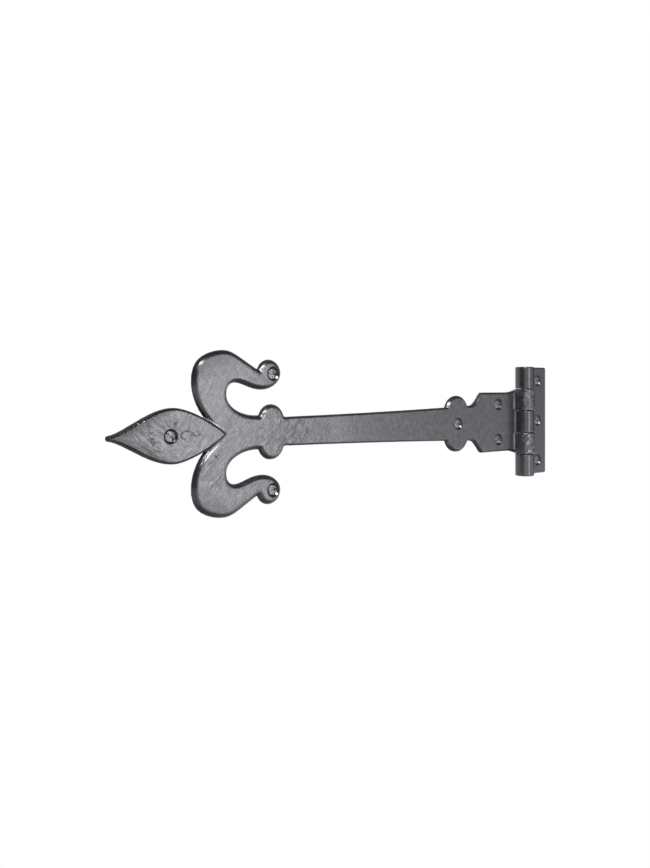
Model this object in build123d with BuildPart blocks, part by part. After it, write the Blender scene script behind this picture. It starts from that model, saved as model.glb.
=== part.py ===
from build123d import *
import math
import os

os.makedirs("parts", exist_ok=True)

# Cast iron tee hinge with a fleur-de-lys strap, closed flat, in millimetres.
# +Z runs up the hinge pin, -Y is the front and the backs lie in the plane Y = 0.
# The origin is where the middle screw of the jamb leaf crosses that back plane.
# The strap reaches from the pin towards -X and the jamb leaf lies on the +X side.

# Barrel and pin
BARREL_HEIGHT = 114.0  # height of the jamb leaf and of the five knuckles
KNUCKLE_RADIUS = 9.75  # jamb knuckles, whose backs are flush with the back plane
STRAP_KNUCKLE_SWELL = 0.45  # the strap's knuckles are cast a little fatter
KNUCKLE_END_GAP = 0.3  # between one knuckle's end and the next
KNUCKLE_EDGE_BREAK = 0.7  # on the strap's knuckles and at the ends of the barrel
KNUCKLE_ROOT_RADIUS = 3.0  # hollow where a knuckle grows out of its leaf
SWING_GAP = 0.35  # between a knuckle and the leaf that swings past it
PIN_RADIUS = 4.0
PIN_RUNNING_CLEARANCE = 0.06  # radial, where the strap turns on the pin
PIN_SEAT_CLEARANCE = 0.02  # radial, where the jamb knuckles hold the pin
RIVET_FLARE = 1.0  # the pin's ends are hammered out into a countersink this deep

# Jamb leaf
JAMB_THICKNESS = 4.0
JAMB_REACH = 44.3  # pin axis to the leaf's free edge
JAMB_CORNER_RADIUS = 1.5
JAMB_BEVEL = 0.9
JAMB_SCREW_DISTANCE = 30.0  # pin axis to the line of screws
JAMB_SCREW_INSET = 14.3  # end of the leaf to the outer screws

# Strap
STRAP_THICKNESS = 5.0
STRAP_REACH = 457.0  # pin axis to the tip of the petal
STRAP_BEVEL = 1.5
SHANK_HALF_WIDTH_AT_HEAD = 11.6
SHANK_HALF_WIDTH_AT_PLATE = 16.8
SHANK_WAIST = 0.7  # how far the long sides bow inwards
PLATE_LENGTH = 61.2  # pin axis to the plate's outer corner
PLATE_HALF_HEIGHT = 30.4
PLATE_BEVEL = 1.8
PLATE_ROOT = 4.0  # the plate's own slab ends this far from the pin axis, inside the knuckles
FLARE_LENGTH = 18.0  # the plate widens to the knuckles over this length
NECK_HALF_WIDTH = 17.4
NECK_DISTANCE = 79.0  # pin axis to where the neck starts to widen
OGEE_POINT = (0.66, 0.52)  # where the ogee passes, as shares of its own length and rise
COLLAR_DISTANCE = 97.2  # pin axis to the collar beside the plate
COLLAR_LOBE_OFFSET = 13.0
COLLAR_LOBE_HALF_LENGTH = 15.8
COLLAR_LOBE_HALF_HEIGHT = 14.4
COLLAR_BEVEL = 2.4
COLLAR_OVERLAP = 4.0  # how far each length of the strap runs on inside a collar
PLATE_SCREW_DISTANCE = 36.5
PLATE_SCREW_SPACING = 36.0

# Fleur-de-lys head, measured from the centre of its own collar
HEAD_LENGTH = 140.0  # collar centre to the tip of the petal
HEAD_LOBE_OFFSET = 10.3
HEAD_LOBE_RADIUS = 12.1
HEAD_NECK_HALF_WIDTH = 13.7
SCROLL_BEVEL = 3.0
SCROLL_SCREW_OFFSET = 46.8
PETAL_THICKNESS = 6.6
PETAL_HALF_WIDTH = 20.9
PETAL_WIDEST_SETBACK = 52.0  # tip of the petal to where it is widest
PETAL_ROOT_DISTANCE = 43.3  # collar centre to the root of the petal
PETAL_BEVEL = 1.5
PETAL_TIP_RADIUS = 2.1
PETAL_CROWN_RADIUS = 170.0  # the face is domed across the petal
PETAL_SCREW_SETBACK = 48.0  # tip of the petal to its screw

# Countersunk slotted screws, all alike, with the threaded length drawn as a plain cylinder
SCREW_HEAD_RADIUS = 4.1
SCREW_SHANK_RADIUS = 2.1
SCREW_LENGTH = 25.4
SLOT_WIDTH = 1.2
SLOT_DEPTH = 1.1
SCREW_SEAT_CLEARANCE = 0.05
COUNTERSINK_RADIUS = 5.4
COUNTERSINK_ANGLE = 90
SCREW_HOLE_RADIUS = 2.65

# Outlines of the arms: distance from the collar centre towards the tip, height above the axis
SCROLL_OUTER = [(50, 0), (64, 16.2), (72.4, 40), (67.2, 56.4), (47.5, 64.8), (13, 50.3)]
SCROLL_END = [(13, 50.3), (1.5, 58.4), (-9.4, 47.3)]
SCROLL_INNER = [
    [(-9.4, 47.3), (-9.4, 40.2), (-1, 34), (9.5, 34)],
    [(9.5, 34), (20, 34), (27, 39.6), (34, 39.6)],
    [(34, 39.6), (39.3, 39.6), (42, 35.6), (42, 30.5)],
    [(42, 30.5), (42, 21.5), (29, HEAD_NECK_HALF_WIDTH), (14, HEAD_NECK_HALF_WIDTH)],
]

# Outline of the petal: distance back from the tip and height above the axis, then from its widest
# place to its root, as shares of that length and of half its width
PETAL_POINT_SIDE = [
    (14.5, 4.2),
    (33, PETAL_HALF_WIDTH),
    (PETAL_WIDEST_SETBACK, PETAL_HALF_WIDTH),
]
PETAL_ROOT_SIDE = [(0, 1), (0.18, 1), (0.58, 0.7), (1, 0)]

# Places that follow from the sizes above
PIN_X = -JAMB_SCREW_DISTANCE
PIN_DEPTH = KNUCKLE_RADIUS
STRAP_KNUCKLE_RADIUS = KNUCKLE_RADIUS + STRAP_KNUCKLE_SWELL
KNUCKLE_PITCH = BARREL_HEIGHT / 5
STRAP_KNUCKLE_BOTTOM = (KNUCKLE_PITCH + KNUCKLE_END_GAP) / 2
STRAP_KNUCKLE_TOP = (3 * KNUCKLE_PITCH - KNUCKLE_END_GAP) / 2
JAMB_MIDDLE_TOP = (KNUCKLE_PITCH - KNUCKLE_END_GAP) / 2
JAMB_END_BOTTOM = (3 * KNUCKLE_PITCH + KNUCKLE_END_GAP) / 2
BARREL_TOP = BARREL_HEIGHT / 2
HEAD_DISTANCE = STRAP_REACH - HEAD_LENGTH
JAMB_SCREW_SPACING = BARREL_TOP - JAMB_SCREW_INSET
SCREW_HEAD_DEPTH = COUNTERSINK_RADIUS - SCREW_HEAD_RADIUS - SCREW_SEAT_CLEARANCE

front_of_strap = Plane(origin=(PIN_X, 0, 0), x_dir=(-1, 0, 0), z_dir=(0, -1, 0))
front_of_head = Plane(origin=(PIN_X - HEAD_DISTANCE, 0, 0), x_dir=(-1, 0, 0), z_dir=(0, -1, 0))
front_of_petal = Plane(origin=(PIN_X - STRAP_REACH, 0, 0), x_dir=(1, 0, 0), z_dir=(0, -1, 0))
front_of_jamb = Plane(origin=(PIN_X, 0, 0), x_dir=(1, 0, 0), z_dir=(0, -1, 0))
pin_section = Plane(origin=(PIN_X, -PIN_DEPTH, 0), x_dir=(1, 0, 0), z_dir=(0, -1, 0))


def level_plane(height):
    """Level plane centred on the pin axis."""
    return Plane(origin=(PIN_X, -PIN_DEPTH, height))


def place_on_front(x, height, depth):
    """Plane parallel to the front, seen from the front, with its origin at this place."""
    return Plane(origin=(x, -depth, height), x_dir=(1, 0, 0), z_dir=(0, -1, 0))


def bevel_front(length):
    """Bevel the front edges of the slab that is being built."""
    chamfer(faces().sort_by(Axis.Y)[0].edges(), length=length)


def knuckle(radius, bottom, top, broken_ends):
    """Knuckle about the pin axis, with the edges broken at the ends that are listed."""
    with BuildPart() as form:
        with BuildSketch(level_plane(bottom)):
            Circle(radius)
        extrude(amount=top - bottom)
        for end in broken_ends:
            chamfer(form.edges().group_by(Axis.Z)[end], length=KNUCKLE_EDGE_BREAK)
    return form.part


def knuckle_foot(radius, bottom, top, side, thickness):
    """Foot that joins a knuckle to its leaf, with a hollow in the front corner."""
    foot_face = PIN_DEPTH - thickness
    foot_length = radius + 2 * KNUCKLE_ROOT_RADIUS
    with BuildPart() as form:
        with BuildSketch(level_plane(bottom)) as section:
            Circle(radius)
            with Locations((side * foot_length / 2, foot_face + thickness / 2)):
                Rectangle(foot_length, thickness)
            corner = section.vertices().sort_by_distance((side * radius, foot_face))[0]
            fillet(corner, radius=KNUCKLE_ROOT_RADIUS)
        extrude(amount=top - bottom)
    return form.part


def notch_length(radius, thickness):
    """How far a notch reaches from the pin axis so that its front edge clears this knuckle."""
    return math.sqrt((radius + SWING_GAP) ** 2 - (PIN_DEPTH - thickness) ** 2)


def drill_screw_hole(face_plane):
    """Countersunk hole from the middle of this face right through the part being built."""
    with Locations(face_plane):
        CounterSinkHole(
            radius=SCREW_HOLE_RADIUS,
            counter_sink_radius=COUNTERSINK_RADIUS,
            depth=3 * STRAP_THICKNESS,
            counter_sink_angle=COUNTERSINK_ANGLE,
        )


# Long shank of the strap, bowed slightly inwards between the two collars
with BuildPart() as shank:
    with BuildSketch(front_of_strap):
        with BuildLine():
            at_plate = (COLLAR_DISTANCE - COLLAR_OVERLAP, SHANK_HALF_WIDTH_AT_PLATE)
            at_head = (HEAD_DISTANCE + COLLAR_OVERLAP, SHANK_HALF_WIDTH_AT_HEAD)
            waist_distance = (at_plate[0] + at_head[0]) / 2
            waist = (waist_distance, (at_plate[1] + at_head[1]) / 2 - SHANK_WAIST)
            ThreePointArc(at_plate, waist, at_head)
            Line(at_head, (at_head[0], 0))
            Line((at_head[0], 0), (at_plate[0], 0))
            Line((at_plate[0], 0), at_plate)
        make_face()
        mirror(about=Plane.XZ)
    extrude(amount=STRAP_THICKNESS)
    bevel_front(STRAP_BEVEL)

# Plate beside the barrel: a straight neck, an ogee out to full height and a flare at the knuckles
with BuildPart() as plate:
    with BuildSketch(front_of_strap):
        with BuildLine():
            neck_end = (COLLAR_DISTANCE + COLLAR_OVERLAP, NECK_HALF_WIDTH)
            neck = (NECK_DISTANCE, NECK_HALF_WIDTH)
            corner = (PLATE_LENGTH, PLATE_HALF_HEIGHT)
            ogee_length = NECK_DISTANCE - PLATE_LENGTH
            ogee_rise = PLATE_HALF_HEIGHT - NECK_HALF_WIDTH
            ogee = (neck[0] - OGEE_POINT[0] * ogee_length, neck[1] + OGEE_POINT[1] * ogee_rise)
            flare_start = (PLATE_ROOT + FLARE_LENGTH, PLATE_HALF_HEIGHT)
            flare_end = (PLATE_ROOT, STRAP_KNUCKLE_TOP)
            Line((neck_end[0], 0), neck_end)
            Line(neck_end, neck)
            Spline(neck, ogee, corner, tangents=[(-1, 0), (-ogee_length, 1.4 * ogee_rise)])
            Line(corner, flare_start)
            TangentArc(flare_start, flare_end, tangent=(-1, 0))
            Line(flare_end, (PLATE_ROOT, 0))
            Line((PLATE_ROOT, 0), (neck_end[0], 0))
        make_face()
        mirror(about=Plane.XZ)
    extrude(amount=STRAP_THICKNESS)
    bevel_front(PLATE_BEVEL)

# Two rounded lobes of the collar beside the plate
with BuildPart() as collar_lobe:
    with BuildSketch(front_of_strap):
        with Locations((COLLAR_DISTANCE, COLLAR_LOBE_OFFSET)):
            Ellipse(COLLAR_LOBE_HALF_LENGTH, COLLAR_LOBE_HALF_HEIGHT)
    extrude(amount=STRAP_THICKNESS)
    bevel_front(COLLAR_BEVEL)

# Lobe of the collar under the head
with BuildPart() as head_lobe:
    with BuildSketch(front_of_head):
        with Locations((0, HEAD_LOBE_OFFSET)):
            Circle(HEAD_LOBE_RADIUS)
    extrude(amount=STRAP_THICKNESS)
    bevel_front(COLLAR_BEVEL)

# The two scrolled arms of the head and the neck between them, with a notch for the petal
with BuildPart() as scrolls:
    with BuildSketch(front_of_head):
        with BuildLine():
            Spline(*SCROLL_OUTER, tangents=[(0.66, 0.75), (-0.87, -0.49)])
            ThreePointArc(*SCROLL_END)
            for points in SCROLL_INNER:
                Bezier(*points)
            Line(SCROLL_INNER[-1][-1], (-COLLAR_OVERLAP, HEAD_NECK_HALF_WIDTH))
            Line((-COLLAR_OVERLAP, HEAD_NECK_HALF_WIDTH), (-COLLAR_OVERLAP, 0))
            Line((-COLLAR_OVERLAP, 0), SCROLL_OUTER[0])
        make_face()
        mirror(about=Plane.XZ)
    extrude(amount=STRAP_THICKNESS)
    bevel_front(SCROLL_BEVEL)

# Leaf-shaped petal, standing above the arms, with a domed face and a small round nib
with BuildPart() as petal:
    with BuildSketch(front_of_petal):
        with BuildLine():
            nib = (PETAL_TIP_RADIUS, PETAL_TIP_RADIUS)
            RadiusArc((0, 0), nib, PETAL_TIP_RADIUS)
            Bezier(nib, *PETAL_POINT_SIDE)
            root_length = HEAD_LENGTH - PETAL_ROOT_DISTANCE - PETAL_WIDEST_SETBACK
            root_side = [
                (PETAL_WIDEST_SETBACK + along * root_length, across * PETAL_HALF_WIDTH)
                for along, across in PETAL_ROOT_SIDE
            ]
            Bezier(*root_side)
            Line(root_side[-1], (0, 0))
        make_face()
        mirror(about=Plane.XZ)
    extrude(amount=PETAL_THICKNESS)
    with BuildSketch(Plane.YZ.offset(PIN_X - STRAP_REACH)):
        with Locations((PETAL_CROWN_RADIUS - PETAL_THICKNESS, 0)):
            Circle(PETAL_CROWN_RADIUS)
    extrude(amount=HEAD_LENGTH, mode=Mode.INTERSECT)
    bevel_front(PETAL_BEVEL)

# Screws and their holes: each place is the middle of the countersink's rim
strap_screws = {
    "screw_petal": place_on_front(
        PIN_X - STRAP_REACH + PETAL_SCREW_SETBACK, 0, PETAL_THICKNESS
    ),
    "screw_collar": place_on_front(PIN_X - COLLAR_DISTANCE, 0, STRAP_THICKNESS),
}
jamb_screws = {"screw_jamb_middle": place_on_front(0, 0, JAMB_THICKNESS)}
for name, side in (("lower", -1), ("upper", 1)):
    strap_screws[f"screw_scroll_{name}"] = place_on_front(
        PIN_X - HEAD_DISTANCE, side * SCROLL_SCREW_OFFSET, STRAP_THICKNESS
    )
    strap_screws[f"screw_plate_{name}"] = place_on_front(
        PIN_X - PLATE_SCREW_DISTANCE, side * PLATE_SCREW_SPACING / 2, STRAP_THICKNESS
    )
    jamb_screws[f"screw_jamb_{name}"] = place_on_front(0, side * JAMB_SCREW_SPACING, JAMB_THICKNESS)

# Hollows at the roots of the strap's knuckles, kept within the flat face of the plate
strap_knuckle_ends = (
    (-STRAP_KNUCKLE_TOP, -STRAP_KNUCKLE_BOTTOM),
    (STRAP_KNUCKLE_BOTTOM, STRAP_KNUCKLE_TOP),
)
with BuildPart() as knuckle_roots:
    for bottom, top in strap_knuckle_ends:
        root_bottom = bottom + KNUCKLE_EDGE_BREAK
        root_top = top - KNUCKLE_EDGE_BREAK
        add(knuckle_foot(STRAP_KNUCKLE_RADIUS, root_bottom, root_top, -1, STRAP_THICKNESS))
    extrude(plate.faces().sort_by(Axis.Y)[0], amount=PIN_DEPTH, mode=Mode.INTERSECT)

# The strap is one casting: shank, plate, head, collars and two knuckles
with BuildPart() as strap:
    for form in (shank, plate, scrolls, petal):
        add(form.part)
    for form in (collar_lobe, head_lobe):
        add(form.part)
        add(mirror(form.part, about=Plane.XY, mode=Mode.PRIVATE))
    with BuildSketch(front_of_strap):
        notch = notch_length(KNUCKLE_RADIUS, STRAP_THICKNESS)
        with Locations((notch / 2, 0)):
            Rectangle(notch, 2 * STRAP_KNUCKLE_BOTTOM)
    extrude(amount=STRAP_THICKNESS, mode=Mode.SUBTRACT)
    for bottom, top in strap_knuckle_ends:
        add(knuckle(STRAP_KNUCKLE_RADIUS, bottom, top, (0, -1)))
    add(knuckle_roots.part)
    split(bisect_by=Plane.XZ, keep=Keep.TOP)
    with Locations(level_plane(BARREL_TOP)):
        Hole(radius=PIN_RADIUS + PIN_RUNNING_CLEARANCE, depth=BARREL_HEIGHT)
    for place in strap_screws.values():
        drill_screw_hole(place)
strap.part.label = "strap"
export_step(strap.part, "parts/strap.step")

# Jamb leaf: a flat plate with three knuckles and two notches for those of the strap
with BuildPart() as jamb_leaf:
    with BuildSketch(front_of_jamb) as outline:
        with Locations((JAMB_REACH / 2, 0)):
            Rectangle(JAMB_REACH, BARREL_HEIGHT)
        fillet(outline.vertices().group_by(Axis.X)[-1], radius=JAMB_CORNER_RADIUS)
    extrude(amount=JAMB_THICKNESS)
    bevel_front(JAMB_BEVEL)
    with BuildSketch(front_of_jamb):
        notch = notch_length(STRAP_KNUCKLE_RADIUS, JAMB_THICKNESS)
        for side in (1, -1):
            with Locations((notch / 2, side * KNUCKLE_PITCH)):
                Rectangle(notch, JAMB_END_BOTTOM - JAMB_MIDDLE_TOP)
    extrude(amount=JAMB_THICKNESS, mode=Mode.SUBTRACT)
    for bottom, top, broken_ends in (
        (-BARREL_TOP, -JAMB_END_BOTTOM, (0,)),
        (-JAMB_MIDDLE_TOP, JAMB_MIDDLE_TOP, ()),
        (JAMB_END_BOTTOM, BARREL_TOP, (-1,)),
    ):
        add(knuckle(KNUCKLE_RADIUS, bottom, top, broken_ends))
        foot_bottom = max(bottom, KNUCKLE_EDGE_BREAK - BARREL_TOP)
        foot_top = min(top, BARREL_TOP - KNUCKLE_EDGE_BREAK)
        add(knuckle_foot(KNUCKLE_RADIUS, foot_bottom, foot_top, 1, JAMB_THICKNESS))
    for direction in (1, -1):
        end = (PIN_X, -PIN_DEPTH, direction * BARREL_TOP)
        with Locations(Plane(origin=end, z_dir=(0, 0, direction))):
            CounterSinkHole(
                radius=PIN_RADIUS + PIN_SEAT_CLEARANCE,
                counter_sink_radius=PIN_RADIUS + RIVET_FLARE + PIN_SEAT_CLEARANCE,
                depth=BARREL_HEIGHT,
                counter_sink_angle=90,
            )
    for place in jamb_screws.values():
        drill_screw_hole(place)
jamb_leaf.part.label = "jamb_leaf"
export_step(jamb_leaf.part, "parts/jamb_leaf.step")

# Hinge pin, hammered out at both ends so that it stays in the jamb leaf
with BuildPart() as hinge_pin:
    with BuildSketch(pin_section):
        with BuildLine():
            flare = PIN_RADIUS + RIVET_FLARE
            Polyline(
                (0, -BARREL_TOP),
                (flare, -BARREL_TOP),
                (PIN_RADIUS, RIVET_FLARE - BARREL_TOP),
                (PIN_RADIUS, BARREL_TOP - RIVET_FLARE),
                (flare, BARREL_TOP),
                (0, BARREL_TOP),
                close=True,
            )
        make_face()
    revolve(axis=Axis(pin_section.origin, (0, 0, 1)))
hinge_pin.part.label = "hinge_pin"
export_step(hinge_pin.part, "parts/hinge_pin.step")

# Slotted wood screws with conical heads
for name, place in (strap_screws | jamb_screws).items():
    head_top = place.offset(-SCREW_HEAD_DEPTH)
    with BuildPart() as screw:
        with BuildSketch(Plane(origin=head_top.origin, x_dir=(1, 0, 0), z_dir=(0, 0, 1))):
            with BuildLine():
                Polyline(
                    (0, 0),
                    (SCREW_HEAD_RADIUS, 0),
                    (SCREW_SHANK_RADIUS, SCREW_HEAD_RADIUS - SCREW_SHANK_RADIUS),
                    (SCREW_SHANK_RADIUS, SCREW_LENGTH),
                    (0, SCREW_LENGTH),
                    close=True,
                )
            make_face()
        revolve(axis=Axis(head_top.origin, (0, 1, 0)))
        with BuildSketch(head_top):
            Rectangle(3 * SCREW_HEAD_RADIUS, SLOT_WIDTH)
        extrude(amount=-SLOT_DEPTH, mode=Mode.SUBTRACT)
    screw.part.label = name
    export_step(screw.part, f"parts/{name}.step")
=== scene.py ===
import math

import bpy
from mathutils import Matrix, Vector


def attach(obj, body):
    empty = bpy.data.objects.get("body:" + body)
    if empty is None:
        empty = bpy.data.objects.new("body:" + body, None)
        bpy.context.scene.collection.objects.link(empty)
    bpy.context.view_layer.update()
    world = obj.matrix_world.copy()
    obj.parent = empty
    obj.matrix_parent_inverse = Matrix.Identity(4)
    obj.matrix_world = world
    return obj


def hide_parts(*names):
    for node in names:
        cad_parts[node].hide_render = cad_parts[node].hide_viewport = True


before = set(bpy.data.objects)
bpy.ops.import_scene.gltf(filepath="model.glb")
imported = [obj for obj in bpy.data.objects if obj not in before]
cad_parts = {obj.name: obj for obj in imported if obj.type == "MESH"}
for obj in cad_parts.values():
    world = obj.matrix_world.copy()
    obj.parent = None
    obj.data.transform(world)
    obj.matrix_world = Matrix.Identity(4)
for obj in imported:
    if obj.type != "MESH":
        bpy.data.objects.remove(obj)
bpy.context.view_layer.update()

# Strap: one iron casting with a shank, a plate, two collars, a fleur-de-lys head and two knuckles.
# It was cast in sand and finished satin black, so its edges are soft and its face is pebbled,
# most of all at the head.
MM = 0.001
WELD = 0.002 * MM
FACET = 0.5 * MM
PIN_X = -30.0 * MM
PIN_Y = -9.75 * MM
BORE_RADIUS = 4.06 * MM
REAMED_RADIUS = BORE_RADIUS + 0.02 * MM
REAMER_REACH = BORE_RADIUS + 0.35 * MM
REAMER_CORE = 0.1 * MM


def deselect_all():
    """Leaves nothing selected."""
    if bpy.context.object and bpy.context.object.mode != "OBJECT":
        bpy.ops.object.mode_set(mode="OBJECT")
    bpy.ops.object.select_all(action="DESELECT")


def work_on(piece):
    """Selects this piece alone and makes it the active one."""
    deselect_all()
    piece.select_set(True)
    bpy.context.view_layer.objects.active = piece


def add_modifier(piece, kind, **settings):
    """Adds a modifier to the piece and applies it."""
    work_on(piece)
    modifier = piece.modifiers.new(kind.lower(), kind)
    for name, value in settings.items():
        setattr(modifier, name, value)
    bpy.ops.object.modifier_apply(modifier=modifier.name)


def cast_from(node, name):
    """Solid skin of even facets over a CAD node, ready to be softened."""
    casting = bpy.data.objects.new(name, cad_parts[node].data.copy())
    bpy.context.scene.collection.objects.link(casting)
    work_on(casting)
    bpy.ops.object.mode_set(mode="EDIT")
    bpy.ops.mesh.select_all(action="SELECT")
    bpy.ops.mesh.remove_doubles(threshold=WELD)
    bpy.ops.object.mode_set(mode="OBJECT")
    add_modifier(casting, "REMESH", mode="VOXEL", voxel_size=FACET, use_smooth_shade=True)
    return casting


def soften(casting, chosen, rounds):
    """Rubs down the part of a casting that is chosen by its place."""
    work_on(casting)
    flags = [chosen(vertex.co) for vertex in casting.data.vertices]
    bpy.ops.object.mode_set(mode="EDIT")
    bpy.ops.mesh.select_mode(type="VERT")
    bpy.ops.mesh.select_all(action="DESELECT")
    bpy.ops.object.mode_set(mode="OBJECT")
    casting.data.vertices.foreach_set("select", flags)
    bpy.ops.object.mode_set(mode="EDIT")
    bpy.ops.mesh.vertices_smooth(factor=0.5, repeat=rounds)
    bpy.ops.object.mode_set(mode="OBJECT")


def ream_bore(casting):
    """Trues the bore of the knuckles, so that the casting clears the pin."""
    for vertex in casting.data.vertices:
        out = Vector((vertex.co.x - PIN_X, vertex.co.y - PIN_Y))
        if REAMER_CORE < out.length < REAMER_REACH:
            out = out.normalized() * REAMED_RADIUS
            vertex.co.x = PIN_X + out.x
            vertex.co.y = PIN_Y + out.y


class Wire:
    """An output of a shader node that Python arithmetic turns into Math nodes."""

    def __init__(self, shop, socket):
        self.shop = shop
        self.socket = socket

    def worked(self, operation, first, second=0.0):
        return self.shop.node("ShaderNodeMath", {"operation": operation}, {0: first, 1: second})

    def __add__(self, other):
        return self.worked("ADD", self, other)

    def __radd__(self, other):
        return self.worked("ADD", other, self)

    def __sub__(self, other):
        return self.worked("SUBTRACT", self, other)

    def __rsub__(self, other):
        return self.worked("SUBTRACT", other, self)

    def __mul__(self, other):
        return self.worked("MULTIPLY", self, other)

    def __rmul__(self, other):
        return self.worked("MULTIPLY", other, self)

    def __abs__(self):
        return self.worked("ABSOLUTE", self)


class Shop:
    """A node tree and the one way that its nodes are made."""

    def __init__(self, tree):
        self.tree = tree

    def node(self, kind, settings, inputs, output=0):
        made = self.tree.nodes.new(kind)
        for name, value in settings.items():
            setattr(made, name, value)
        for name, value in inputs.items():
            if isinstance(value, Wire):
                self.tree.links.new(value.socket, made.inputs[name])
            else:
                made.inputs[name].default_value = value
        return Wire(self, made.outputs[output])

    def place(self):
        """Object coordinates, in metres."""
        return self.node("ShaderNodeTexCoord", {}, {}, "Object")

    def outward(self):
        """Direction that the surface faces, in the object's own axes."""
        return self.node("ShaderNodeTexCoord", {}, {}, "Normal")

    def axis(self, vector, name):
        """One component of a vector."""
        return self.node("ShaderNodeSeparateXYZ", {}, {"Vector": vector}, name)

    def laid(self, place, centre, size, turn=0.0):
        """Place measured from a centre, in shares of a size, along axes turned about the front."""
        sockets = {"Vector": place, "Location": centre, "Scale": size, "Rotation": (0, turn, 0)}
        return self.node("ShaderNodeMapping", {"vector_type": "TEXTURE"}, sockets)

    def noise(self, place, scale, detail=2.0, roughness=0.5, distortion=0.0, output=0):
        sockets = {"Vector": place, "Scale": scale, "Detail": detail}
        sockets |= {"Roughness": roughness, "Distortion": distortion}
        return self.node("ShaderNodeTexNoise", {}, sockets, output)

    def ramp(self, value, low, high):
        """Rises softly from 0 to 1 between these two values, or falls where low is above high."""
        rise = {"Value": value, "From Min": low, "From Max": high}
        return self.node("ShaderNodeMapRange", {"interpolation_type": "SMOOTHSTEP"}, rise)

    def near(self, place, centre, radii, turn=0.0):
        """1 at this centre, falling to 0 at these radii."""
        shares = self.laid(place, centre, radii, turn)
        length = self.node("ShaderNodeVectorMath", {"operation": "LENGTH"}, {0: shares}, "Value")
        return self.ramp(length, 1.0, 0.55)

    def scored(self, place, lines):
        """1 along fine lines in the front, each a start, an end and a width in millimetres."""
        found = 0.0
        for start, end, width in lines:
            run = (end[0] - start[0], end[1] - start[1])
            middle = ((start[0] + end[0]) / 2 * MM, 0.0, (start[1] + end[1]) / 2 * MM)
            radii = (math.hypot(*run) * 0.6 * MM, 1.0, width * MM)
            found = self.near(place, middle, radii, math.atan2(-run[1], run[0])) + found
        return found

    def blend(self, share, first, second):
        """Mix of two colours."""
        settings = {"data_type": "RGBA"}
        return self.node("ShaderNodeMix", settings, {0: share, 6: first, 7: second}, 2)

    def bump(self, height, depth):
        return self.node("ShaderNodeBump", {}, {"Height": height, "Distance": depth, "Strength": 1.0})


def finish_named(name, metallic, coat, haze):
    """New material, its shop and its shader. Haze is the roughness of the clear coat."""
    material = bpy.data.materials.new(name)
    material.use_nodes = True
    shader = material.node_tree.nodes["Principled BSDF"]
    shader.inputs["Metallic"].default_value = metallic
    shader.inputs["Coat Weight"].default_value = coat
    shader.inputs["Coat Roughness"].default_value = haze
    return material, Shop(material.node_tree), shader


def feed(shop, shader, **values):
    """Links worked values to the shader's sockets."""
    for name, value in values.items():
        shop.tree.links.new(value.socket, shader.inputs[name.replace("_", " ")])


def wear_finish(piece, material):
    """Gives the piece this finish and no other."""
    piece.data.materials.clear()
    piece.data.materials.append(material)


# Middles of the screws across the front, in millimetres, and the reach of the painted shade round each.
PETAL_SCREW = (-439.0, 0.0)
SCROLL_SCREWS = ((-347.0, 46.8), (-347.0, -46.8))
COLLAR_SCREW = (-127.2, 0.0)
PLATE_SCREWS = ((-66.5, 18.0), (-66.5, -18.0))
STRAP_SCREWS = (PETAL_SCREW, *SCROLL_SCREWS, COLLAR_SCREW, *PLATE_SCREWS)
RECESS_REACH = 7.0
MASK_DEPTH = 9.0


def at_screws(shop, place, screws, depth, reach, beside=(0.0, 0.0)):
    """1 within a reach of these screws' middles, or of a place beside each of them."""
    inside = 0.0
    for x, z in screws:
        middle = ((x + beside[0]) * MM, -depth * MM, (z + beside[1]) * MM)
        inside = shop.near(place, middle, (reach * MM, MASK_DEPTH * MM, reach * MM)) + inside
    return inside


def in_recess(shop, place, screws, depth):
    """1 in the countersinks of these screws, falling to 0 round them."""
    return shop.ramp(at_screws(shop, place, screws, depth, RECESS_REACH), 0.0, 0.25)


strap_finish, shop, shader = finish_named("strap black finish", metallic=0.78, coat=0.5, haze=0.09)
place = shop.place()
x_place = shop.axis(place, "X")
height_off = abs(shop.axis(place, "Z"))
toward_head = shop.ramp(x_place, -0.09, -0.48)
on_knuckles = shop.ramp(x_place, -0.0415, -0.0385)
outward = shop.outward()
outward_y = shop.axis(outward, "Y")
on_bevel = shop.ramp(abs(outward_y), 0.995, 0.80)
on_wall = shop.ramp(abs(outward_y), 0.50, 0.15)
on_front = shop.ramp(outward_y, -0.2, -0.4)
off_back = shop.ramp(outward_y, 0.8, 0.4)
on_underside = shop.ramp(shop.axis(outward, "Z"), -0.15, -0.60)

# The face has pebbles, long strokes that run up the head and down the petal's left, and fine pits.
pebbles = shop.noise(place, 330.0, roughness=0.45)
up_stroke = shop.noise(shop.laid(place, (0, 0, 0), (0.6, 1.0, 2.2), 0.65), 270.0, distortion=1.0)
down_stroke = shop.noise(shop.laid(place, (0, 0, 0), (0.6, 1.0, 2.0), -0.85), 270.0, distortion=1.2)
on_petal_left = shop.near(place, (-0.4600, -0.0066, -0.004), (0.042, 0.04, 0.034))
stroke = up_stroke * (1 - on_petal_left) + down_stroke * on_petal_left
swell = shop.noise(place, 110.0)
pits = shop.ramp(shop.noise(place, 700.0, roughness=0.6), 0.36, 0.24)
height = 0.45 * pebbles + 1.3 * stroke + 0.9 * swell - 0.12 * pits
on_upper_arm = shop.near(place, (-0.400, -0.005, 0.045), (0.040, 0.04, 0.036))
on_head_collar = shop.near(place, (-0.3300, -0.005, 0.0), (0.046, 0.04, 0.034))
grain = toward_head * toward_head * (1 - 0.5 * on_upper_arm) + 0.45 * on_head_collar * off_back
relief_share = (0.08 + 1.05 * grain) * (1 - 0.65 * on_bevel) + 1.5 * on_knuckles
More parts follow.
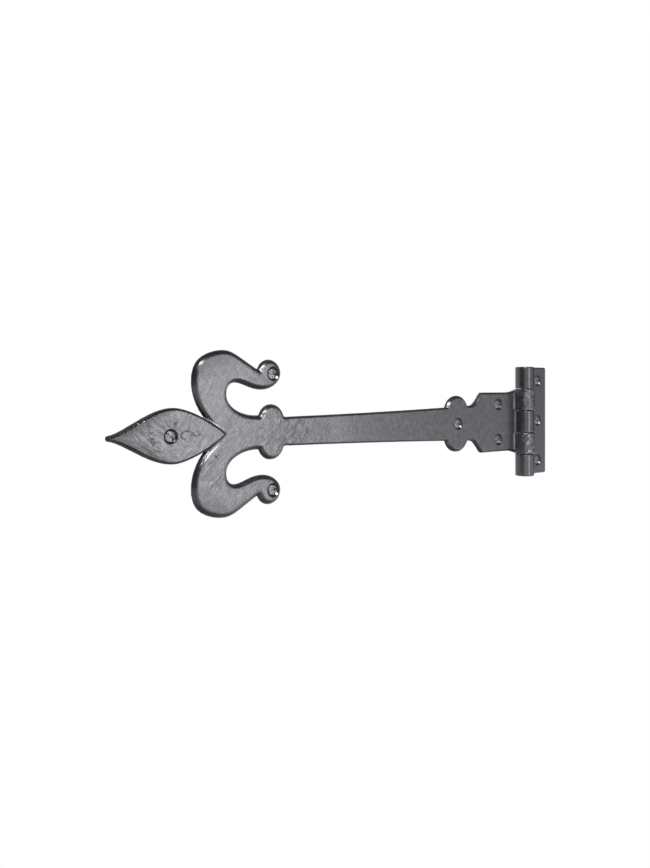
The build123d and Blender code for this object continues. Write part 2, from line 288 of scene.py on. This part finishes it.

# The petal and the lower arm have cuts with shaky edges and some scratches, and thin painted highlights
# lie along some rims of the head and by the petal's tip.
CUT_WIDTH = 0.85
CUT_TREMOR = (4.0 * MM, 0.0, 4.0 * MM)
SCRATCH_WIDTH = 0.42
tremor = shop.noise(place, 380.0, output="Color")
tremor = shop.node("ShaderNodeVectorMath", {"operation": "SUBTRACT"}, {0: tremor, 1: (0.5, 0.5, 0.5)})
shaken = shop.node(
    "ShaderNodeVectorMath", {"operation": "MULTIPLY_ADD"}, {0: tremor, 1: CUT_TREMOR, 2: place}
)
cut_runs = (
    ((-457.0, 3.8), (-453.0, 3.4)),
    ((-457.3, -1.4), (-451.2, -1.6)),
    ((-456.2, -3.4), (-449.8, -4.1)),
    ((-454.4, -5.7), (-451.2, -6.1)),
    ((-458.4, 9.2), (-454.0, 7.6)),
    ((-461.5, -6.2), (-456.8, -9.5)),
    ((-458.2, -8.1), (-452.1, -11.9)),
    ((-456.8, -10.8), (-448.3, -15.2)),
    ((-453.0, -8.8), (-447.3, -10.8)),
    ((-427.2, -2.9), (-430.9, -0.5)),
    ((-430.9, -0.7), (-430.3, 1.9)),
    ((-430.6, 1.6), (-427.5, 3.6)),
    ((-428.0, 3.5), (-421.9, 3.5)),
    ((-422.0, 3.7), (-421.4, 0.2)),
    ((-421.6, 0.3), (-417.3, -0.3)),
    ((-417.8, -0.4), (-414.3, 1.2)),
    ((-433.4, 10.5), (-436.3, 9.2)),
    ((-436.1, 9.6), (-434.6, 6.9)),
    ((-401.5, -15.8), (-398.0, -18.6)),
    ((-397.4, -15.4), (-399.6, -18.2)),
    ((-404.0, -19.6), (-406.6, -23.0)),
    ((-404.9, -40.8), (-395.2, -31.4)),
)
scratch_lines = (
    ((-405.7, -40.0), (-395.6, -30.4), SCRATCH_WIDTH),
    ((-406.8, -38.3), (-403.6, -35.3), SCRATCH_WIDTH),
)
painted_glint_lines = (
    ((-412.5, 14.6), (-392.5, 3.1), 0.55),
    ((-397.6, -7.8), (-406.4, -15.2), 1.0),
    ((-403.6, -12.6), (-412.0, -22.0), 0.75),
    ((-465.0, 10.3), (-463.1, 9.0), 0.5),
    ((-461.3, 11.0), (-459.3, 11.9), 0.5),
)
cuts = shop.scored(shaken, [(start, end, CUT_WIDTH) for start, end in cut_runs]) * on_front
wear_and_glints = (shop.scored(place, scratch_lines) * 0.36 + shop.scored(place, painted_glint_lines) * 0.7) * on_front
relief = height * relief_share - cuts * 0.8 - wear_and_glints * 0.15

# A thin grey dust, blotched at random, lies over the black. The head is also painted lighter, a painted
# sheen for the soft box that its face mirrors; it is strongest at the head and weaker along the head's
# rims.
CLEAN_BLACK = (0.066, 0.067, 0.074, 1)
DUSTY_SHEEN_BLACK = (0.172, 0.172, 0.188, 1)
RIM_SHADE_BLACK = (0.032, 0.032, 0.036, 1)
SHADE_BLACK = (0.020, 0.020, 0.023, 1)
UNDERSIDE_SHADE_BLACK = (0.010, 0.010, 0.012, 1)
NIB_BLACK = (0.016, 0.016, 0.018, 1)
CUT_BLACK = (0.026, 0.026, 0.030, 1)
SCRATCH_AND_GLINT_GREY = (0.52, 0.52, 0.55, 1)
GLINT_SPECK_GREY = (0.34, 0.34, 0.36, 1)
GLINT_GREY = (0.50, 0.50, 0.52, 1)
BESIDE_SCREW = (3.5, -3.1)
GLINT_DEPTH = 4.6
mottle = shop.noise(place, 210.0, detail=4.0, roughness=0.62)
off_middle = shop.ramp(height_off, 0.018, 0.032)
below_collar = shop.near(place, (-0.3040, -0.005, 0.0), (0.052, 0.04, 0.04))
dust_and_sheen = shop.ramp(mottle, 0.35, 0.68) * 0.3 + toward_head * (0.74 - 0.13 * off_middle)
dust_and_sheen = dust_and_sheen + 0.22 * below_collar * off_back
colour = shop.blend(dust_and_sheen, CLEAN_BLACK, DUSTY_SHEEN_BLACK)
# Painted shade: darker bands along the outer rims of the arms and the rims of the petal.
arm_rim = shop.ramp(height_off - 0.4 * (x_place + 0.395), 0.043, 0.063)
petal_rim = shop.ramp(height_off - 0.57 * (x_place + 0.447), 0.008, 0.020)
petal_rim = petal_rim * shop.ramp(x_place, -0.425, -0.445)
rim_shade = toward_head * off_back * (0.62 * arm_rim + 0.8 * petal_rim)
colour = shop.blend(rim_shade, colour, RIM_SHADE_BLACK)
# Painted shade in the low places of the relief, most at the head and on the knuckles.
hollows = shop.ramp(stroke * 0.65 + pebbles * 0.35, 0.60, 0.40)
colour = shop.blend(hollows * (0.06 + grain + on_knuckles) * 0.42, colour, SHADE_BLACK)
# Painted shade on the head's bevels, for the dark room that they mirror.
colour = shop.blend(on_bevel * toward_head * 0.74, colour, SHADE_BLACK)
# Painted shade on the faces that look down.
colour = shop.blend(on_underside * 0.75, colour, UNDERSIDE_SHADE_BLACK)
on_nib = shop.near(place, (-0.4880, -0.003, 0.0), (0.0085, 0.02, 0.006))
colour = shop.blend(on_nib * 0.8, colour, NIB_BLACK)
colour = shop.blend(cuts * 0.75, colour, CUT_BLACK)
# Scratches, and painted highlights along some rims.
colour = shop.blend(wear_and_glints, colour, SCRATCH_AND_GLINT_GREY)
# Painted glints: light specks on the grain of the knuckles.
glint_specks = shop.ramp(pebbles * 0.5 + mottle * 0.5, 0.56, 0.66) * on_knuckles
colour = shop.blend(glint_specks * 0.7, colour, GLINT_SPECK_GREY)
# Painted shade in the countersinks of the screws.
recess = in_recess(shop, place, STRAP_SCREWS, depth=3.6) * on_front
colour = shop.blend(recess * 0.8, colour, SHADE_BLACK)
# Painted glints on the countersinks' rims beside each screw of the head, and fainter ones beside the
# plate's screws.
head_screws = (*SCROLL_SCREWS, COLLAR_SCREW)
screw_glints = at_screws(shop, place, head_screws, GLINT_DEPTH, 1.35, BESIDE_SCREW)
screw_glints = screw_glints + 0.35 * at_screws(shop, place, PLATE_SCREWS, GLINT_DEPTH, 1.1, BESIDE_SCREW)
colour = shop.blend(screw_glints * on_front * mottle * 1.1, colour, GLINT_GREY)
roughness = 0.33 + 0.12 * mottle - 0.08 * on_bevel
roughness = roughness + 0.40 * on_wall * (1 - on_knuckles) - 0.1 * on_knuckles
feed(
    shop,
    shader,
    Base_Color=colour,
    Roughness=roughness,
    Coat_Weight=(0.5 - 0.45 * on_wall) * (1 - 0.7 * recess) * (1 - 0.8 * on_underside),
    Normal=shop.bump(relief, 0.65 * MM),
)

# The fronts of the arms are rubbed down most, the petal and the rest of the strap far less.
KNUCKLES_END = -41.5 * MM
NECK = -330.0 * MM
FRONT_HALF = -1.0 * MM
COUNTERSINK_REACH = 6.2 * MM
PETAL_TIP = -487.0 * MM
PETAL_WIDEST = 52.0 * MM
PETAL_LENGTH = 98.0 * MM
PETAL_HALF_WIDTH = 20.9 * MM
PETAL_MARGIN = 0.9 * MM


def away_from_holes(spot):
    """True outside the countersinks of the strap's screws."""
    for x, z in STRAP_SCREWS:
        if math.hypot(spot.x - x * MM, spot.z - z * MM) < COUNTERSINK_REACH:
            return False
    return True


def on_petal(spot):
    """True on the petal and close round it."""
    from_tip = spot.x - PETAL_TIP
    if from_tip < PETAL_WIDEST:
        half = PETAL_HALF_WIDTH * math.sin(math.pi / 2 * from_tip / PETAL_WIDEST) ** 2
    else:
        past_widest = (from_tip - PETAL_WIDEST) / (PETAL_LENGTH - PETAL_WIDEST)
        half = PETAL_HALF_WIDTH * math.cos(math.pi / 2 * min(1.0, past_widest))
    return from_tip < PETAL_LENGTH and abs(spot.z) < half + PETAL_MARGIN


def on_petal_front(spot):
    """True on the front half of the petal."""
    return spot.y < FRONT_HALF and away_from_holes(spot) and on_petal(spot)


def on_arm_front(spot):
    """True on the front half of the arms, the head's neck and its collar."""
    on_arms = spot.x < NECK and not on_petal(spot)
    return spot.y < FRONT_HALF and away_from_holes(spot) and on_arms


strap = cast_from("strap", "strap_casting")
soften(strap, lambda spot: spot.x < KNUCKLES_END, rounds=2)
soften(strap, on_arm_front, rounds=40)
soften(strap, on_petal_front, rounds=6)
ream_bore(strap)
add_modifier(strap, "DECIMATE", ratio=0.42)
wear_finish(strap, strap_finish)
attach(strap, "strap_side")
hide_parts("strap")

# Jamb leaf: a narrow iron plate with three knuckles of its own, cast and finished like the strap
# but flat and smooth, and screwed to the door post.
JAMB_SCREWS = ((0.0, -42.7), (0.0, 0.0), (0.0, 42.7))
LEAF_START = -18.0 * MM
jamb_finish, shop, shader = finish_named("jamb leaf black finish", metallic=0.75, coat=0.3, haze=0.2)
place = shop.place()
on_front = shop.ramp(shop.axis(shop.outward(), "Y"), -0.2, -0.4)
on_barrel = shop.ramp(shop.axis(place, "X"), -0.0165, -0.0200)
mottle = shop.noise(place, 260.0, detail=4.0, roughness=0.6)
fine = shop.noise(place, 700.0, detail=3.0, roughness=0.6)
colour = shop.blend(shop.ramp(mottle, 0.3, 0.7), (0.054, 0.055, 0.061, 1), (0.074, 0.075, 0.083, 1))
# Painted shade in the countersinks of the screws.
recess = in_recess(shop, place, JAMB_SCREWS, depth=2.6) * on_front
colour = shop.blend(recess * 0.8, colour, SHADE_BLACK)
# Painted glints on the countersinks' rims beside the screws.
screw_glints = at_screws(shop, place, JAMB_SCREWS, depth=3.6, reach=1.45, beside=(3.4, -3.1))
colour = shop.blend(screw_glints * on_front * 0.8, colour, (0.55, 0.55, 0.57, 1))
feed(
    shop,
    shader,
    Base_Color=colour,
    Roughness=0.34 + 0.08 * mottle - 0.15 * on_barrel,
    Coat_Weight=0.3 * (1 - 0.7 * recess),
    Normal=shop.bump(0.5 * fine + 0.5 * mottle, 0.05 * MM),
)
jamb_leaf = cast_from("jamb_leaf", "jamb_leaf_casting")
soften(jamb_leaf, lambda spot: spot.x > LEAF_START, rounds=2)
ream_bore(jamb_leaf)
add_modifier(jamb_leaf, "DECIMATE", ratio=0.6)
wear_finish(jamb_leaf, jamb_finish)
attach(jamb_leaf, "jamb_side")
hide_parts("jamb_leaf")

# Hinge pin: a steel rod through all five knuckles, hammered out at both ends into the countersinks
# of the jamb leaf's outer knuckles, and finished black with the rest. Its sizes are in millimetres.
PIN_HALF_LENGTH = 57.0
PIN_RADIUS = 4.0
HAMMERED_RADIUS = 4.62


def true_faces():
    """Turns all faces of the piece in edit mode outwards and leaves edit mode."""
    bpy.ops.mesh.select_all(action="SELECT")
    bpy.ops.mesh.normals_make_consistent(inside=False)
    bpy.ops.object.mode_set(mode="OBJECT")


def turned_bar(rings, origin, axis, tilt, sides):
    """Round bar through rings along an axis, each a distance and a radius in millimetres."""
    deselect_all()
    start, radius = rings[0]
    bpy.ops.mesh.primitive_circle_add(
        vertices=sides,
        radius=radius * MM,
        fill_type="NGON",
        location=origin + axis * start * MM,
        rotation=tilt,
    )
    bar = bpy.context.object
    bpy.ops.object.transform_apply(location=True, rotation=True, scale=True)
    bpy.ops.object.mode_set(mode="EDIT")
    bpy.ops.mesh.select_mode(type="FACE")
    bpy.ops.mesh.select_all(action="SELECT")
    for (here, before), (there, after) in zip(rings, rings[1:]):
        shares = [1 if along else after / before for along in axis]
        move = axis * (there - here) * MM
        bpy.ops.mesh.extrude_region_move(TRANSFORM_OT_translate={"value": move})
        bpy.ops.transform.resize(value=shares, center_override=origin + axis * there * MM)
    true_faces()
    return bar


pin_end = [
    (PIN_HALF_LENGTH - 1.0, PIN_RADIUS),
    (PIN_HALF_LENGTH - 0.45, HAMMERED_RADIUS),
    (PIN_HALF_LENGTH - 0.14, 4.3),
    (PIN_HALF_LENGTH, 3.1),
]
pin_rings = [(-along, radius) for along, radius in reversed(pin_end)] + pin_end
pin_middle = Vector((PIN_X, PIN_Y, 0))
hinge_pin = turned_bar(pin_rings, pin_middle, Vector((0, 0, 1)), (math.pi, 0, 0), 48)
hinge_pin.name = "hinge_pin_hammered"
bpy.ops.object.shade_smooth_by_angle(angle=math.radians(40))
pin_finish, shop, shader = finish_named("pin black finish", metallic=0.6, coat=0.2, haze=0.2)
place = shop.place()
blows = shop.noise(place, 420.0)
colour = shop.blend(shop.ramp(blows, 0.3, 0.7), (0.07, 0.072, 0.078, 1), (0.11, 0.112, 0.12, 1))
feed(
    shop,
    shader,
    Base_Color=colour,
    Roughness=0.32 + 0.14 * shop.noise(place, 800.0, detail=3.0, roughness=0.6),
    Normal=shop.bump(blows, 0.25 * MM),
)
wear_finish(hinge_pin, pin_finish)
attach(hinge_pin, "jamb_side")
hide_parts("hinge_pin")

# Screws: nine slotted countersunk wood screws of japanned steel, driven from the front. Each has a
# plain shank under its head, then a cut thread that runs out to a gimlet point. The sizes and the
# seats are in millimetres.
HEAD_RADIUS = 4.1
SHANK_RADIUS = 2.1
SLOT_WIDTH = 1.2
SLOT_DEPTH = 1.1
THREAD_START = 8.6
THREAD_PITCH = 1.7
THREAD_ROOT = 1.5
THREAD_FOOT = 1.3
THREAD_WIDTH = 0.84
THREAD_FIRST_SHARE = 0.62
THREAD_LAST_SHARE = 0.08
POINT_START = 20.6
SCREW_LENGTH = 25.4

screw_rings = [
    (0.0, 3.86),
    (0.12, HEAD_RADIUS),
    (0.3, HEAD_RADIUS - 0.1),
    (2.1, SHANK_RADIUS),
    (8.0, SHANK_RADIUS),
    (8.9, THREAD_ROOT),
    (POINT_START, THREAD_ROOT - 0.1),
    (SCREW_LENGTH - 1.2, 0.62),
    (SCREW_LENGTH, 0.06),
]
pattern = turned_bar(screw_rings, Vector((0, 0, 0)), Vector((0, 1, 0)), (math.pi / 2, 0, 0), 64)
deselect_all()
slot_size = (10.0 * MM, 2 * SLOT_DEPTH * MM, SLOT_WIDTH * MM)
bpy.ops.mesh.primitive_cube_add(size=1, location=(0, 0, 0), scale=slot_size)
slot_cutter = bpy.context.object
bpy.ops.object.transform_apply(location=True, rotation=True, scale=True)
add_modifier(pattern, "BOOLEAN", operation="DIFFERENCE", solver="EXACT", object=slot_cutter)
bpy.data.objects.remove(slot_cutter)
add_modifier(
    pattern,
    "BEVEL",
    width=0.09 * MM,
    segments=2,
    limit_method="ANGLE",
    angle_limit=math.radians(50),
)

deselect_all()
bpy.ops.mesh.primitive_circle_add(vertices=3, radius=1 * MM, fill_type="NOTHING")
thread = bpy.context.object
tooth = ((THREAD_FOOT, 0.0), (SHANK_RADIUS, THREAD_WIDTH / 2), (THREAD_FOOT, THREAD_WIDTH))
for vertex, (radius, along) in zip(thread.data.vertices, tooth):
    vertex.co = (radius * MM, (THREAD_START + along) * MM, 0)
add_modifier(
    thread,
    "SCREW",
    axis="Y",
    screw_offset=THREAD_PITCH * MM,
    iterations=int((SCREW_LENGTH - THREAD_START) / THREAD_PITCH),
    steps=28,
    render_steps=28,
    use_merge_vertices=True,
    merge_threshold=0.001 * MM,
)
for vertex in thread.data.vertices:
    along = vertex.co.y / MM
    turns = (along - THREAD_START) / THREAD_PITCH
    run_in = min(1.0, THREAD_FIRST_SHARE + (1 - THREAD_FIRST_SHARE) * turns)
    run_out = (SCREW_LENGTH - along) / (SCREW_LENGTH - POINT_START)
    share = run_in * min(1.0, max(THREAD_LAST_SHARE, run_out))
    vertex.co.x *= share
    vertex.co.z *= share
    vertex.co.y = min(vertex.co.y, SCREW_LENGTH * MM)
work_on(thread)
bpy.ops.object.mode_set(mode="EDIT")
bpy.ops.mesh.select_all(action="SELECT")
bpy.ops.mesh.fill_holes(sides=0)
true_faces()
work_on(pattern)
thread.select_set(True)
bpy.ops.object.join()
bpy.ops.object.shade_smooth_by_angle(angle=math.radians(35))

screw_finish, shop, shader = finish_named("screw black finish", metallic=0.65, coat=0.3, haze=0.15)
# The heads are flecked light, partly worn steel and partly painted glints.
speckle = shop.noise(shop.place(), 1100.0, detail=3.0, roughness=0.6)
wear_and_glints = shop.ramp(speckle, 0.43, 0.62)
colour = shop.blend(wear_and_glints, (0.045, 0.046, 0.051, 1), (0.30, 0.30, 0.31, 1))
feed(
    shop,
    shader,
    Base_Color=colour,
    Roughness=0.26 + 0.2 * speckle,
    Normal=shop.bump(speckle, 0.12 * MM),
)
wear_finish(pattern, screw_finish)

PETAL_HEAD_Y = -5.35
STRAP_HEAD_Y = -3.75
JAMB_HEAD_Y = -2.75
screw_seats = {
    "screw_petal": (PETAL_SCREW, PETAL_HEAD_Y, 40),
    "screw_collar": (COLLAR_SCREW, STRAP_HEAD_Y, 12),
    "screw_scroll_lower": (SCROLL_SCREWS[1], STRAP_HEAD_Y, -14),
    "screw_scroll_upper": (SCROLL_SCREWS[0], STRAP_HEAD_Y, 6),
    "screw_plate_lower": (PLATE_SCREWS[1], STRAP_HEAD_Y, -35),
    "screw_plate_upper": (PLATE_SCREWS[0], STRAP_HEAD_Y, 18),
    "screw_jamb_lower": (JAMB_SCREWS[0], JAMB_HEAD_Y, 10),
    "screw_jamb_middle": (JAMB_SCREWS[1], JAMB_HEAD_Y, 28),
    "screw_jamb_upper": (JAMB_SCREWS[2], JAMB_HEAD_Y, -8),
}
for node, ((x, z), y, slot_turn) in screw_seats.items():
    screw = bpy.data.objects.new(node + "_driven", pattern.data.copy())
    bpy.context.scene.collection.objects.link(screw)
    seat = Matrix.Translation((x * MM, y * MM, z * MM))
    screw.data.transform(seat @ Matrix.Rotation(math.radians(slot_turn), 4, "Y"))
    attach(screw, "jamb_side" if "jamb" in node else "strap_side")
    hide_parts(node)
bpy.data.objects.remove(pattern)

# Floor: a plain pale sheet well below the hinge. The camera, and any mirror, sees it as white, while
# its light on the hinge is that of pale paint.
FLOOR_SIZE = 8.0
FLOOR_LEVEL = -0.52


def rays(shop, *kinds):
    """1 for a ray of any of these kinds."""
    found = 0.0
    for kind in kinds:
        found = shop.node("ShaderNodeLightPath", {}, {}, f"Is {kind} Ray") + found
    return found


deselect_all()
bpy.ops.mesh.primitive_plane_add(size=FLOOR_SIZE, location=(-0.2, 0, FLOOR_LEVEL))
floor = bpy.context.object
floor.name = "floor"
floor_paint, shop, shader = finish_named("pale floor", metallic=0.0, coat=0.0, haze=0.0)
shader.inputs["Base Color"].default_value = (0.5, 0.5, 0.5, 1)
shader.inputs["Roughness"].default_value = 0.9
paint = Wire(shop, shader.outputs[0])
white = shop.node("ShaderNodeEmission", {}, {"Color": (1, 1, 1, 1), "Strength": 1.0})
seen = rays(shop, "Camera", "Glossy", "Transmission")
mixed = shop.node("ShaderNodeMixShader", {}, {0: seen, 1: paint, 2: white})
shop.tree.links.new(mixed.socket, shop.tree.nodes["Material Output"].inputs["Surface"])
wear_finish(floor, floor_paint)

# Studio: a white sheet behind, a dim room in front, three soft boxes in a row before the hinge that
# its faces mirror, and a small bright lamp above the head on the left for the glints.
ROOM_LEVEL = 0.05
SHEET_LEVEL = 0.7
MIRRORED_EXTRA = 0.25
world = bpy.data.worlds.new("studio")
bpy.context.scene.world = world
world.use_nodes = True
shop = Shop(world.node_tree)
direction = shop.node("ShaderNodeTexCoord", {}, {}, "Generated")
sheet = shop.ramp(shop.axis(direction, "Y"), 0.25, 0.6)
level = ROOM_LEVEL + (SHEET_LEVEL + MIRRORED_EXTRA * rays(shop, "Glossy", "Transmission")) * sheet
strength = level + rays(shop, "Camera") * (1.0 - level)
background = world.node_tree.nodes["Background"]
background.inputs["Color"].default_value = (1, 1, 1, 1)
shop.tree.links.new(strength.socket, background.inputs["Strength"])


def add_lamp(name, place, target, width, height, watts):
    """Soft rectangular lamp that faces a target."""
    lamp = bpy.data.lights.new(name, "AREA")
    lamp.shape = "RECTANGLE"
    lamp.size = width
    lamp.size_y = height
    lamp.energy = watts
    holder = bpy.data.objects.new(name, lamp)
    bpy.context.scene.collection.objects.link(holder)
    holder.location = place
    holder.rotation_euler = (Vector(target) - Vector(place)).to_track_quat("-Z", "Y").to_euler()


add_lamp("front box", (0.06, -1.0, 0.05), (-0.40, 0, 0), width=0.50, height=1.1, watts=5.7)
add_lamp("right box", (1.15, -1.0, 0.05), (-0.05, 0, 0), width=1.15, height=1.1, watts=3.1)
add_lamp("left box", (-0.64, -1.0, 0.05), (-0.25, 0, 0), width=0.92, height=1.1, watts=3.0)
add_lamp("glint lamp", (-0.83, -0.84, 1.02), (-0.40, 0, 0.05), width=0.74, height=0.34, watts=25.0)

# Camera: level with the upper scroll's foot, to the left of the hinge and turned 38.5 degrees to it.
camera = bpy.data.cameras.new("camera")
camera.lens = 32.64
camera.sensor_width = 36.0
camera.shift_y = -0.0553
viewer = bpy.data.objects.new("camera", camera)
bpy.context.scene.collection.objects.link(viewer)
viewer.location = (-0.7085, -0.5263, 0.0370)
viewer.rotation_euler = (math.pi / 2, 0, math.radians(-38.483))
bpy.context.scene.camera = viewer
bpy.context.scene.view_settings.view_transform = "Standard"
